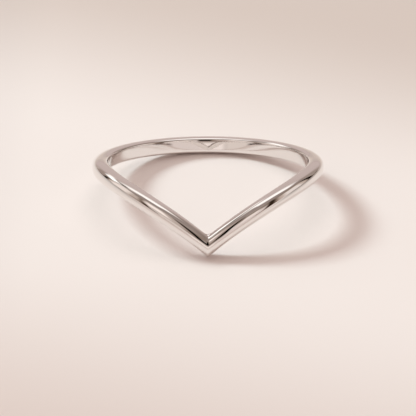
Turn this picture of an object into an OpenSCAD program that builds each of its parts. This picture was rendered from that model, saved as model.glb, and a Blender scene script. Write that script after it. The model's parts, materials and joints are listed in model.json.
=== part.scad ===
// Chevron ring: one slim band of polished white metal, with a V at the front.
// The ring is shaped upright about its own axis, then leaned back until the tip of the V
// and the back of the band stand on z = 0, as the loose ring does.

/* [Finger hole] */
// Inner diameter of the ring
bore_d = 17.3; // [14:0.1:23]

/* [Band] */
// Thickness of the band, from the bore outwards
band_t = 1.34; // [1:0.02:2.4]
// Width of the band along the V, square to its run
vee_w = 1.4; // [1:0.02:2.4]
// Width of the band at the back of the ring
back_w = 1.46; // [1:0.02:2.4]
// Width of each rounded inner edge, across the band
edge_w = 0.24; // [0.1:0.02:0.44]
// Depth of each rounded inner edge, out from the bore
edge_t = 0.5; // [0.2:0.02:0.8]
// Fullness of the crown, where 2 is oval and more is squarer
crown_power = 2.7; // [2:0.1:4]

/* [V] */
// Drop from the middle of the shank to the middle of the tip
vee_drop = 4.92; // [2:0.1:7]
// Angle round the ring from the tip to where a leg joins the shank
leg_angle = 90; // [60:5:120]
// How strongly a leg bends, where 1 is a straight slope
leg_power = 2.45; // [1.5:0.05:3]

/* [Hidden] */

// Degrees round the ring between two sections
turn_step = 4;
// Points on half of the crown, and on each inner edge
crown_points = 9;
edge_points = 5;
// The wall stands this far outside the bore at each section. Between two sections its flat
// facet dips inside the bore, which cuts a true round stretch of wall into each facet.
wall_relief = 0.001;

bore_r = bore_d / 2;
mid_r = bore_r + band_t / 2;
turns = 360 / turn_step;

// Share of a leg's run that is left at this angle from the tip, 1 at the tip and 0 on the shank
function leg_left(angle) = max(0, 1 - angle / leg_angle);

// Height of the band's middle above the middle of the shank
function path_z(angle) = -vee_drop * pow(leg_left(angle), leg_power);

// Rise of the band for each millimetre round the middle of its thickness
function path_rise(angle) =
    vee_drop * leg_power * pow(leg_left(angle), leg_power - 1) / (mid_r * leg_angle * PI / 180);

// Width of the band, square to its run, going evenly from the V's to the back's
function band_w(angle) = vee_w + (back_w - vee_w) * angle / 180;

// Half of a section of width w, from the bore to the crest, as [out from the bore, across the band]
function half_section(w) = concat(
    [[wall_relief, w / 2 - edge_w]],
    [for (i = [1 : edge_points])
        let (a = 90 * i / edge_points)
        [edge_t * (1 - cos(a)), w / 2 - edge_w * (1 - sin(a))]],
    [for (i = [1 : crown_points])
        let (a = 90 - 90 * i / crown_points)
        [edge_t + (band_t - edge_t) * pow(cos(a), 2 / crown_power), w / 2 * pow(sin(a), 2 / crown_power)]]
);

// The whole closed section, down from the upper half to its mirror image
function section(w) =
    let (half = half_section(w), last = len(half) - 1)
    concat(half, [for (i = [last - 1 : -1 : 0]) [half[i][0], -half[i][1]]]);

// A section set on the ring, in the upright plane through the axis at this angle from the tip.
// The plane cuts a sloping band slantwise, so the width is drawn out by the slope.
function placed(turn) =
    let (angle = turn <= 180 ? turn : 360 - turn, draw = sqrt(1 + pow(path_rise(angle), 2)))
    [for (p = section(band_w(angle)))
        [(bore_r + p[0]) * sin(turn), -(bore_r + p[0]) * cos(turn), path_z(angle) + p[1] * draw]];

// Heights and depths of points once the ring has leaned back by this angle
function leaned_z(points, lean) = [for (p = points) p[2] * cos(lean) - p[1] * sin(lean)];
function leaned_y(points, lean) = [for (p = points) p[1] * cos(lean) + p[2] * sin(lean)];

tip = placed(0);
back = placed(180);

// The lean at which the tip and the back stand at one height, found by halving
function resting_lean(low, high, tries) =
    let (mid = (low + high) / 2)
    tries == 0 ? mid
    : min(leaned_z(tip, mid)) < min(leaned_z(back, mid)) ? resting_lean(mid, high, tries - 1)
    : resting_lean(low, mid, tries - 1);

lean = resting_lean(0, 60, 40);
stand_z = min(leaned_z(back, lean));
centre_y = (min(leaned_y(tip, lean)) + max(leaned_y(back, lean))) / 2;

// The band as one closed sweep, before its wall is cut to the bore
module swept_band() {
    per = len(tip);
    points = [for (i = [0 : turns - 1]) each placed(i * turn_step)];
    faces = [
        for (i = [0 : turns - 1], k = [0 : per - 1])
            let (
                here = i * per,
                next = (i + 1) % turns * per,
                up = (k + 1) % per
            )
            each [[here + k, here + up, next + up], [here + k, next + up, next + k]]
    ];
    polyhedron(points = points, faces = faces);
}

// The finger hole, long enough to pass the tip and the top of the shank
module bore() {
    reach = vee_drop + vee_w + back_w;
    translate([0, 0, -2 * reach]) cylinder(r = bore_r, h = 3 * reach, $fn = 180);
}

module band() {
    color([0.82, 0.79, 0.77])
        translate([0, -centre_y, -stand_z]) rotate([-lean, 0, 0])
            difference() {
                swept_band();
                bore();
            }
}

band();
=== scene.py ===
import bpy
import json
from math import atan2, cos, pi, radians, sin, sqrt
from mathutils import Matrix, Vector


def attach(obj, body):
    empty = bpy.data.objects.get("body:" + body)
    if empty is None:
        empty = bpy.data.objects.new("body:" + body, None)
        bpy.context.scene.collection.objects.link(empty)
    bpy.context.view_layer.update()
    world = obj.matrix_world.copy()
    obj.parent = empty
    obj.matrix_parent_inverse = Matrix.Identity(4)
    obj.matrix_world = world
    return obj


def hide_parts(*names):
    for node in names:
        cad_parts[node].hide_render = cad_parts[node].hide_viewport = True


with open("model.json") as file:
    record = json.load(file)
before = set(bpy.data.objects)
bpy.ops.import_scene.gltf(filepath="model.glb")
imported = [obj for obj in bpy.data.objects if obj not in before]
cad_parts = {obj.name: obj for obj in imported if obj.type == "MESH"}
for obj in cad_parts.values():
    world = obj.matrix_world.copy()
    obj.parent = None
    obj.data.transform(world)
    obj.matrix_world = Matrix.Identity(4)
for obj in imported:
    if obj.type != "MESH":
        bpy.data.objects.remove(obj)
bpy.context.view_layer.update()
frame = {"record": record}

# The camera looks down at the ring from straight in front of its tip, as in the photo. The ring
# fills a little over half of the frame, and the lens is long, so it hardly narrows with depth.
mm = 0.001
camera_distance = 300 * mm
camera_elevation = radians(28.2)
camera_target = Vector((0, -1, 0)) * mm
sensor_width = 36
lens = 300.8
nearest_seen = 10 * mm
farthest_seen = 10

bpy.ops.object.select_all(action="DESELECT")
towards_camera = Vector((0, -cos(camera_elevation), sin(camera_elevation)))
bpy.ops.object.camera_add(
    location=camera_target + towards_camera * camera_distance,
    rotation=(pi / 2 - camera_elevation, 0, 0),
)
camera = bpy.context.object
camera.name = "camera"
camera.data.sensor_width = sensor_width
camera.data.lens = lens
camera.data.clip_start = nearest_seen
camera.data.clip_end = farthest_seen
bpy.context.scene.camera = camera

# The band is one length of polished silver wire, flat inside with rounded edges and crowned
# outside. It is bent round the finger, mitred into a V at the front and soldered there.
# Sizes that end in _w run across the band, and those that end in _t through its thickness.
hole = frame["record"]["mounts"][0]
bore_r = hole["dims"]["r_mm"] * mm
lean = atan2(hole["axis"][1], hole["axis"][2])
hole_centre = Vector(hole["pos_m"])
band_t = 1.34 * mm
vee_w = 1.4 * mm
back_w = 1.46 * mm
edge_w = 0.24 * mm
edge_t = 0.5 * mm
crown_power = 2.7
vee_drop = 4.92 * mm
# Each leg of the V covers this many degrees of turn, and the drop dies out along it by a power.
leg_angle = 90
leg_power = 2.45

turn_step = 3
crown_segments = 9
edge_segments = 5
merge_gap = 0.001 * mm
mitre_reach = 0.01 * mm
mitre_crease = 0.9
smoothing_levels = 2
smooth_angle = radians(40)

crown_t = band_t - edge_t
widest_r = bore_r + edge_t
mid_r = bore_r + band_t / 2
# This profile makes a bevel follow a superellipse of that power, and a half makes it a circle.
crown_profile = 0.25 ** (1 / crown_power)
edge_profile = 0.5

# A plate as wide as the band, standing in the plane of the tip, gets the wire's section.
bpy.ops.object.select_all(action="DESELECT")
plate_t = edge_w + vee_w / 2
bpy.ops.mesh.primitive_plane_add(size=1, location=(0, 0, 0), rotation=(0, 0, 0))
band = bpy.context.object
band.name = "polished_band"
bpy.ops.object.mode_set(mode="EDIT")
bpy.ops.transform.rotate(value=pi / 2, orient_axis="Y", center_override=(0, 0, 0))
bpy.ops.transform.resize(value=(1, plate_t, vee_w), center_override=(0, 0, 0))
bpy.ops.transform.translate(value=(0, -(widest_r - edge_w + plate_t / 2), 0))


def select_points(mesh_object, wanted):
    """Selects the points of a mesh in edit mode that meet a test, and nothing else."""
    bpy.ops.mesh.select_all(action="DESELECT")
    bpy.ops.object.mode_set(mode="OBJECT")
    for point in mesh_object.data.vertices:
        point.select = wanted(point.co)
    bpy.ops.object.mode_set(mode="EDIT")


# The plate's corners are rounded, and its outer and inner halves are then stretched to size.
bpy.ops.mesh.select_mode(type="VERT")
select_points(band, lambda p: p.y < -widest_r)
bpy.ops.mesh.bevel(
    affect="VERTICES", offset=vee_w / 2, segments=crown_segments, profile=crown_profile
)
select_points(band, lambda p: p.y > -widest_r)
bpy.ops.mesh.bevel(
    affect="VERTICES", offset=edge_w, segments=edge_segments, profile=edge_profile
)
bpy.ops.mesh.select_all(action="SELECT")
bpy.ops.mesh.remove_doubles(threshold=merge_gap)
select_points(band, lambda p: p.y < -widest_r)
bpy.ops.transform.resize(
    value=(1, crown_t / (vee_w / 2), 1), center_override=(0, -widest_r, 0)
)
select_points(band, lambda p: p.y > -widest_r)
bpy.ops.transform.resize(value=(1, edge_t / edge_w, 1), center_override=(0, -widest_r, 0))
bpy.ops.mesh.select_all(action="SELECT")
bpy.ops.mesh.delete(type="ONLY_FACE")

# The wire is bent round the finger hole.
bpy.ops.mesh.select_all(action="SELECT")
bpy.ops.mesh.spin(steps=360 // turn_step, angle=2 * pi, center=(0, 0, 0), axis=(0, 0, 1))
bpy.ops.mesh.select_all(action="SELECT")
bpy.ops.mesh.remove_doubles(threshold=merge_gap)
bpy.ops.mesh.normals_make_consistent(inside=False)

# Each pair of sections, left and right, is drawn down into the V and made as wide as the slope
# there asks. The turn is counted in degrees from the tip.
for turn in range(0, 180 + turn_step, turn_step):
    leg_left = max(0, 1 - turn / leg_angle)
    drop = vee_drop * leg_left**leg_power
    slope = vee_drop * leg_power * leg_left ** (leg_power - 1) / (mid_r * radians(leg_angle))
    width = vee_w + (back_w - vee_w) * turn / 180
    select_points(
        band, lambda p: abs(atan2(abs(p.x), -p.y) - radians(turn)) < radians(turn_step / 4)
    )
    bpy.ops.transform.resize(
        value=(1, 1, width / vee_w * sqrt(1 + slope**2)), center_override=(0, 0, 0)
    )
    bpy.ops.transform.translate(value=(0, 0, -drop))

# The mitre stays crisp outside when the surface is smoothed. Its notch inside is left to round.
select_points(band, lambda p: abs(p.x) < mitre_reach and p.y < -widest_r)
bpy.ops.transform.edge_crease(value=mitre_crease)

# The ring leans back until the tip of the V and the back of the band stand on the floor.
bpy.ops.mesh.select_all(action="SELECT")
bpy.ops.transform.rotate(value=lean, orient_axis="X", center_override=(0, 0, 0))
bpy.ops.transform.translate(value=hole_centre)
bpy.ops.object.mode_set(mode="OBJECT")

smoothing = band.modifiers.new("smoothing", "SUBSURF")
smoothing.levels = smoothing_levels
smoothing.render_levels = smoothing_levels
bpy.ops.object.modifier_apply(modifier=smoothing.name)
bpy.ops.object.shade_smooth_by_angle(angle=smooth_angle)

# Rhodium-plated sterling silver, polished on felt wheels and plated after the mitre was soldered.
# To the eye it is a cool white mirror, a little greyer than silver. The wheels leave hairlines
# along the band and a slight waviness, which soften what it mirrors by a trace.
plating_colour = "EFEBE9"
smudged_colour = "EBE7E4"
hair_length = 3 * mm
# Real hairlines are about 0.005 mm apart, too fine to show, so they are drawn coarser.
hair_pitch = 0.06 * mm
hair_depth = 0.00008 * mm
hair_detail = 2
hair_contrast = 0.6
wave_size = 1.8 * mm
wave_depth = 0.0009 * mm
wave_detail = 1
smudge_size = 4 * mm
smudge_detail = 4
# Noise stays between about these values, low to high, and the roughness is spread over them.
smudge_low, smudge_high = 0.35, 0.65
hair_low, hair_high = 0.3, 0.7
clean_roughness = 0.02
smudged_roughness = 0.05
hair_roughness = 0.03
# The colour sockets of a Mix node have only numbers: two that go in, and one that comes out.
mix_a, mix_b, mix_result = 6, 7, 2


def linear(hex_colour):
    """An sRGB hex value as linear red, green, blue and an alpha of 1."""
    parts = [int(hex_colour[i : i + 2], 16) / 255 for i in (0, 2, 4)]
    return [c / 12.92 if c <= 0.04045 else ((c + 0.055) / 1.055) ** 2.4 for c in parts] + [1]


def add_node(tree, kind, settings=None, links=None):
    """Adds a node, sets its properties or sockets, and links its sockets to other nodes."""
    node = tree.nodes.new(kind)
    for name, value in (settings or {}).items():
        if isinstance(name, str) and hasattr(node, name):
            setattr(node, name, value)
        else:
            node.inputs[name].default_value = value
    for name, output in (links or {}).items():
        tree.links.new(output, node.inputs[name])
    return node


rhodium = bpy.data.materials.new("rhodium_plated_silver")
rhodium.use_nodes = True
tree = rhodium.node_tree
tree.nodes.clear()

# The place on the band, laid out along it: the turn from the back, the distance out from the
# hole's axis, and the place across the band, for which the drop into the V is added back.
place = add_node(tree, "ShaderNodeTexCoord")
from_centre = add_node(
    tree,
    "ShaderNodeVectorMath",
    {"operation": "SUBTRACT", 1: hole_centre},
    {0: place.outputs["Object"]},
)
upright = add_node(
    tree,
    "ShaderNodeVectorRotate",
    {"rotation_type": "X_AXIS", "Angle": lean},
    {"Vector": from_centre.outputs["Vector"]},
)
axes = add_node(tree, "ShaderNodeSeparateXYZ", links={"Vector": upright.outputs["Vector"]})
turn_from_back = add_node(
    tree,
    "ShaderNodeMath",
    {"operation": "ARCTAN2"},
    {0: axes.outputs["X"], 1: axes.outputs["Y"]},
)
either_way = add_node(
    tree, "ShaderNodeMath", {"operation": "ABSOLUTE"}, {0: turn_from_back.outputs["Value"]}
)
into_vee = add_node(
    tree,
    "ShaderNodeMapRange",
    {"From Min": pi - radians(leg_angle), "From Max": pi},
    {"Value": either_way.outputs["Value"]},
)
share_of_drop = add_node(
    tree, "ShaderNodeMath", {"operation": "POWER", 1: leg_power}, {0: into_vee.outputs["Result"]}
)
across_band = add_node(
    tree,
    "ShaderNodeMath",
    {"operation": "MULTIPLY_ADD", 1: vee_drop},
    {0: share_of_drop.outputs["Value"], 2: axes.outputs["Z"]},
)
level = add_node(
    tree,
    "ShaderNodeVectorMath",
    {"operation": "MULTIPLY", 1: (1, 1, 0)},
    {0: upright.outputs["Vector"]},
)
out_from_axis = add_node(
    tree, "ShaderNodeVectorMath", {"operation": "LENGTH"}, {0: level.outputs["Vector"]}
)
along_band = add_node(
    tree,
    "ShaderNodeCombineXYZ",
    links={
        "X": either_way.outputs["Value"],
        "Y": out_from_axis.outputs["Value"],
        "Z": across_band.outputs["Value"],
    },
)

# Hairlines are noise drawn out along the band. The waves and smudges are even in all directions.
hair_cells = add_node(
    tree,
    "ShaderNodeVectorMath",
    {"operation": "MULTIPLY", 1: (mid_r / hair_length, 1 / hair_pitch, 1 / hair_pitch)},
    {0: along_band.outputs["Vector"]},
)
hairlines = add_node(
    tree,
    "ShaderNodeTexNoise",
    {"Scale": 1, "Detail": hair_detail, "Roughness": hair_contrast},
    {"Vector": hair_cells.outputs["Vector"]},
)
waves = add_node(
    tree,
    "ShaderNodeTexNoise",
    {"Scale": 1 / wave_size, "Detail": wave_detail},
    {"Vector": place.outputs["Object"]},
)
smudges = add_node(
    tree,
    "ShaderNodeTexNoise",
    {"Scale": 1 / smudge_size, "Detail": smudge_detail},
    {"Vector": place.outputs["Object"]},
)
wavy = add_node(
    tree,
    "ShaderNodeBump",
    {"Strength": 1, "Distance": wave_depth},
    {"Height": waves.outputs["Fac"]},
)
brushed = add_node(
    tree,
    "ShaderNodeBump",
    {"Strength": 1, "Distance": hair_depth},
    {"Height": hairlines.outputs["Fac"], "Normal": wavy.outputs["Normal"]},
)
film = add_node(
    tree,
    "ShaderNodeMapRange",
    {
        "From Min": smudge_low,
        "From Max": smudge_high,
        "To Min": clean_roughness,
        "To Max": smudged_roughness,
    },
    {"Value": smudges.outputs["Fac"]},
)
grain = add_node(
    tree,
    "ShaderNodeMapRange",
    {"From Min": hair_low, "From Max": hair_high, "To Min": 0, "To Max": hair_roughness},
    {"Value": hairlines.outputs["Fac"]},
)
roughness = add_node(
    tree,
    "ShaderNodeMath",
    {"operation": "ADD"},
    {0: film.outputs["Result"], 1: grain.outputs["Result"]},
)
plating = add_node(
    tree,
    "ShaderNodeMix",
    {"data_type": "RGBA", mix_a: linear(plating_colour), mix_b: linear(smudged_colour)},
    {"Factor": smudges.outputs["Fac"]},
)
shader = add_node(
    tree,
    "ShaderNodeBsdfPrincipled",
    {"Metallic": 1.0},
    {
        "Base Color": plating.outputs[mix_result],
        "Roughness": roughness.outputs["Value"],
        "Normal": brushed.outputs["Normal"],
    },
)
add_node(tree, "ShaderNodeOutputMaterial", links={"Surface": shader.outputs["BSDF"]})
band.data.materials.append(rhodium)
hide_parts("band")
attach(band, "root")

# The floor is a sheet of pale card, pressed smooth and left uncoated, so that it is matt to the
# eye. A pool of light is painted on it: a light band runs across it, slightly turned, and past it
# painted shade darkens it, as it also does to the left and right of the ring, but not far in front
# of it or far behind it.
floor_size = 4
painted_light_pool_turn = radians(22)
# Millimetres from the ring's centre, back across the painted light pool, and the colour there
painted_pool_stops = [
    (-120, linear("CDBAB4")),
    (-48, linear("DAC8C2")),
    (-10, linear("F3E8E5")),
    (7, linear("F3E8E5")),
    (40, linear("D6C6BF")),
    (95, linear("C8B8B3")),
]
# Millimetres right of the ring's centre, and the share of colour that painted shade leaves there
painted_side_shade_shares = [
    (-110, 0.42),
    (-70, 0.6),
    (-32, 0.74),
    (-22, 0.93),
    (-14, 1),
    (21, 1),
    (32, 0.72),
    (50, 0.58),
    (110, 0.3),
]
painted_side_shade_stops = [(distance, (share, share, share, 1)) for distance, share in painted_side_shade_shares]
# Nearer to this depth than the first distance, the painted shade at the sides is full. Past the
# second one, there is none.
sides_depth = 14 * mm
sides_full = 24 * mm
sides_gone = 46 * mm
card_roughness = 0.9
card_specular = 0.2

bpy.ops.object.select_all(action="DESELECT")
bpy.ops.mesh.primitive_plane_add(size=floor_size, location=(0, 0, 0))
floor = bpy.context.object
floor.name = "floor"
card = bpy.data.materials.new("card_with_painted_light_and_shade")
card.use_nodes = True
tree = card.node_tree
tree.nodes.clear()
place = add_node(tree, "ShaderNodeTexCoord")
turned = add_node(
    tree,
    "ShaderNodeMapping",
    {"Rotation": (0, 0, painted_light_pool_turn)},
    {"Vector": place.outputs["Object"]},
)
band_axes = add_node(tree, "ShaderNodeSeparateXYZ", links={"Vector": turned.outputs["Vector"]})
card_axes = add_node(tree, "ShaderNodeSeparateXYZ", links={"Vector": place.outputs["Object"]})
tones = []
for along, stops in (
    (band_axes.outputs["Y"], painted_pool_stops),
    (card_axes.outputs["X"], painted_side_shade_stops),
):
    first, last = stops[0][0], stops[-1][0]
    share_along = add_node(
        tree,
        "ShaderNodeMapRange",
        {"From Min": first * mm, "From Max": last * mm},
        {"Value": along},
    )
    shade = add_node(tree, "ShaderNodeValToRGB", links={"Fac": share_along.outputs["Result"]})
    ramp = shade.color_ramp
    ramp.interpolation = "EASE"
    ramp.elements[0].color = stops[0][1]
    ramp.elements[1].color = stops[-1][1]
    for distance, tone in stops[1:-1]:
        ramp.elements.new((distance - first) / (last - first)).color = tone
    tones.append(shade.outputs["Color"])
behind_depth = add_node(
    tree,
    "ShaderNodeMath",
    {"operation": "SUBTRACT", 1: sides_depth},
    {0: card_axes.outputs["Y"]},
)
from_depth = add_node(
    tree, "ShaderNodeMath", {"operation": "ABSOLUTE"}, {0: behind_depth.outputs["Value"]}
)
beside_ring = add_node(
    tree,
    "ShaderNodeMapRange",
    {"From Min": sides_full, "From Max": sides_gone, "To Min": 1, "To Max": 0},
    {"Value": from_depth.outputs["Value"]},
)
# The painted pool of light and the painted shade at the sides multiply into one colour.
painted_light_and_shade = add_node(
    tree,
    "ShaderNodeMix",
    {"data_type": "RGBA", "blend_type": "MULTIPLY"},
    {"Factor": beside_ring.outputs["Result"], mix_a: tones[0], mix_b: tones[1]},
)
matt = add_node(
    tree,
    "ShaderNodeBsdfPrincipled",
    {"Roughness": card_roughness, "Specular IOR Level": card_specular},
    {"Base Color": painted_light_and_shade.outputs[mix_result]},
)
add_node(tree, "ShaderNodeOutputMaterial", links={"Surface": matt.outputs["BSDF"]})
floor.data.materials.append(card)

# The key is a softbox behind the ring on the left, a metre away, and casts the shadow. The metal
# doesn't mirror it, but the key panel of the room, which was set by itself to give the highlights.
key_azimuth = -61.5
key_elevation = 39.8
key_width = 0.29
key_height = 0.23
key_roll = radians(-22)
key_power = 6.6
key_colour = (0.79, 0.985, 1)


def direction(azimuth, elevation):
    """Unit vector; azimuth in degrees from straight behind the ring, to the right."""
    level = cos(radians(elevation))
    return Vector(
        (level * sin(radians(azimuth)), level * cos(radians(azimuth)), sin(radians(elevation)))
    )


key_at = direction(key_azimuth, key_elevation)
bpy.ops.object.light_add(type="AREA", location=key_at)
key = bpy.context.object
key.name = "key_softbox"
key.data.shape = "RECTANGLE"
key.data.size = key_width
key.data.size_y = key_height
key.data.energy = key_power
key.data.color = key_colour
key.visible_glossy = False
key.rotation_euler = (-key_at).to_track_quat("-Z", "Y").to_euler()
key.rotation_euler.rotate_axis("Z", key_roll)

# The fill is a wide disc of soft light overhead, which lifts the shadow. The metal doesn't mirror
# it either, because the ceiling and the panels of the room take its place.
fill_height = 1.2
fill_width = 1.6
fill_power = 2.75
fill_colour = (1, 0.91, 0.845)

bpy.ops.object.light_add(type="AREA", location=(0, 0, fill_height))
fill = bpy.context.object
fill.name = "overhead_fill"
fill.data.shape = "DISK"
fill.data.size = fill_width
fill.data.energy = fill_power
fill.data.color = fill_colour
fill.visible_glossy = False

# The room is what the metal mirrors: soft panels of light round the ring, dark gaps and sills
# between them, a beam, and the camera's stand in front. Angles are in degrees, as seen from the
# ring: to the right from straight behind it, and up from the floor.
wall_colour = "8D7C70"
ceiling_colour = "9C8E87"
wall_end = radians(40)
ceiling_start = radians(60)
half_turn = 180
# Each panel is painted over the ones before it.
panels = [
    # name, across, up, half across, half up, soft across, soft up, turn, colour, strength
    ("front_left_panel", -145, 33, 25, 27, 4, 6, 0, "C5B5AC", 1),
    ("front_left_core", -138, 33, 14, 16, 6, 6, 0, "FFF3EC", 1.1),
    ("front_left_low", -143, 2, 17, 7, 5, 3, 0, "E6D9D1", 1),
    ("front_foot", 168, 1, 32, 7, 6, 3, 0, "FCEFE8", 1),
    ("left_panel", -89, 23.5, 24.3, 18.5, 4, 6, 0, "CBBAB0", 1),
    ("left_core", -85.4, 23.8, 14.5, 21.6, 6, 6, 0, "FAEDE6", 1),
    ("back_wall", 1, 19.3, 30, 27.4, 15, 12, 0, "CEBDB8", 1),
    ("back_foot", -33, 6, 6, 5, 3, 3, 0, "CBBFB5", 1),
    ("top_wings", -4, 64, 62, 7, 8, 4, 0, "E6DCD6", 1),
    ("top_back", 6, 67, 43.5, 19, 10.5, 9.5, 0, "FFFAF7", 1.25),
    ("right_dim", 46, 20, 12, 25, 6, 6, 0, "A5968D", 1),
    ("right_wedge", 50, 43, 14, 8.5, 5, 5, 0, "9A8A83", 1),
    ("left_dim", -45, 12, 12.7, 13, 3, 3, 0, "A5948C", 1),
    ("right_panel", 90, 15.4, 22.4, 19.7, 4, 8, 0, "CBB9AE", 1),
    ("right_core", 91, 15.2, 12.8, 18.7, 5, 6, 0, "F3E8E2", 1),
    ("front_right_panel", 150.5, 6, 23.4, 18, 4.3, 8, 0, "E6D8D2", 1),
    ("front_right_core", 146.7, 21, 10.2, 10.7, 4, 6, 0, "FBEDE6", 1),
    ("front_right_top", 150.6, 54.5, 19.6, 10.2, 6, 6, 0, "A79890", 1),
    ("key_wing", -27, 34, 8, 4.5, 4, 3, -10, "FFFAF5", 1.2),
    ("key_panel", -47, 35.5, 14, 8.8, 4, 3.1, -13.5, "FFFEFC", 1.4),
    ("key_tail", -70, 44.5, 12.3, 3.5, 4, 2.9, -11.9, "E1DAD4", 1),
    ("left_gap", -59.6, 6.2, 4.2, 14.2, 1.5, 4, 0, "100809", 1),
    ("right_gap", 60.7, 11.9, 4.8, 24, 1.6, 6, 0, "120605", 1),
    ("front_left_gap", -120.5, 6, 3.7, 12, 2, 5, 0, "65534A", 1),
    ("front_right_gap", 121, 18.4, 4.5, 27.4, 3, 8, 0, "32241B", 1),
    ("front_left_sill", -123, 1.1, 9.5, 1.6, 4, 1.3, 0, "000000", 1),
    ("left_sill", -58, 1.5, 15, 1.4, 4, 1.2, 0, "2F1B00", 1),
    ("right_sill", 56, 1.5, 15, 1.5, 4, 1.2, 0, "221600", 1),
    ("front_right_sill", 124, 1.5, 13, 1, 4, 1.4, 0, "442100", 1),
    ("left_beam", -50, 53, 5.1, 4.8, 3, 3, 0, "000000", 1),
    ("stand_foot", 183, 11.5, 15, 5, 4, 2.5, 0, "A29187", 1),
    ("stand_halo", 177, 43, 10, 10, 4, 5, 0, "4A3B34", 1),
    ("camera_stand", 176, 26.2, 8, 14.8, 2.5, 3.4, 0, "000000", 1),
]
# The vector sockets of a Map Range node have only numbers too.
range_vector, range_from_min, range_from_max = 6, 7, 8

room = bpy.data.worlds.new("room")
bpy.context.scene.world = room
room.use_nodes = True
tree = room.node_tree
tree.nodes.clear()
seen_from_ring = add_node(tree, "ShaderNodeTexCoord")
axes = add_node(
    tree, "ShaderNodeSeparateXYZ", links={"Vector": seen_from_ring.outputs["Generated"]}
)
azimuth = add_node(
    tree,
    "ShaderNodeMath",
    {"operation": "ARCTAN2"},
    {0: axes.outputs["X"], 1: axes.outputs["Y"]},
)
elevation = add_node(tree, "ShaderNodeMath", {"operation": "ARCSINE"}, {0: axes.outputs["Z"]})
angles = add_node(
    tree,
    "ShaderNodeCombineXYZ",
    links={"X": azimuth.outputs["Value"], "Y": elevation.outputs["Value"]},
)
in_degrees = add_node(
    tree,
    "ShaderNodeVectorMath",
    {"operation": "SCALE", "Scale": half_turn / pi},
    {0: angles.outputs["Vector"]},
)
wall_to_ceiling = add_node(
    tree,
    "ShaderNodeMapRange",
    {"interpolation_type": "SMOOTHSTEP", "From Min": wall_end, "From Max": ceiling_start},
    {"Value": elevation.outputs["Value"]},
)
bare_room = add_node(
    tree,
    "ShaderNodeMix",
    {"data_type": "RGBA", mix_a: linear(wall_colour), mix_b: linear(ceiling_colour)},
    {"Factor": wall_to_ceiling.outputs["Result"]},
)
painted = bare_room.outputs[mix_result]
for name, across, up, half_across, half_up, soft_across, soft_up, turn, colour, strength in panels:
    apart = add_node(
        tree,
        "ShaderNodeVectorMath",
        {"operation": "SUBTRACT", 1: (across, up, 0)},
        {0: in_degrees.outputs["Vector"]},
    )
    wrapped = add_node(
        tree,
        "ShaderNodeVectorMath",
        {"operation": "WRAP", 1: (half_turn,) * 3, 2: (-half_turn,) * 3},
        {0: apart.outputs["Vector"]},
    )
    turned = add_node(
        tree,
        "ShaderNodeVectorRotate",
        {"rotation_type": "Z_AXIS", "Angle": -radians(turn)},
        {"Vector": wrapped.outputs["Vector"]},
    )
    away = add_node(
        tree, "ShaderNodeVectorMath", {"operation": "ABSOLUTE"}, {0: turned.outputs["Vector"]}
    )
    faded = add_node(
        tree,
        "ShaderNodeMapRange",
        {
            "data_type": "FLOAT_VECTOR",
            "interpolation_type": "SMOOTHSTEP",
            range_from_min: (half_across + soft_across, half_up + soft_up, 1),
            range_from_max: (half_across - soft_across, half_up - soft_up, 0),
        },
        {range_vector: away.outputs["Vector"]},
    )
    sides = add_node(tree, "ShaderNodeSeparateXYZ", links={"Vector": faded.outputs["Vector"]})
    mask = add_node(
        tree,
        "ShaderNodeMath",
        {"operation": "MULTIPLY"},
        {0: sides.outputs["X"], 1: sides.outputs["Y"]},
    )
    glow = [c * strength for c in linear(colour)[:3]] + [1]
    layer = add_node(
        tree,
        "ShaderNodeMix",
        {"data_type": "RGBA", "label": name, mix_b: glow},
        {"Factor": mask.outputs["Value"], mix_a: painted},
    )
    painted = layer.outputs[mix_result]
background = add_node(tree, "ShaderNodeBackground", links={"Color": painted})
add_node(tree, "ShaderNodeOutputWorld", links={"Surface": background.outputs["Background"]})
bpy.context.scene.view_settings.view_transform = "Standard"
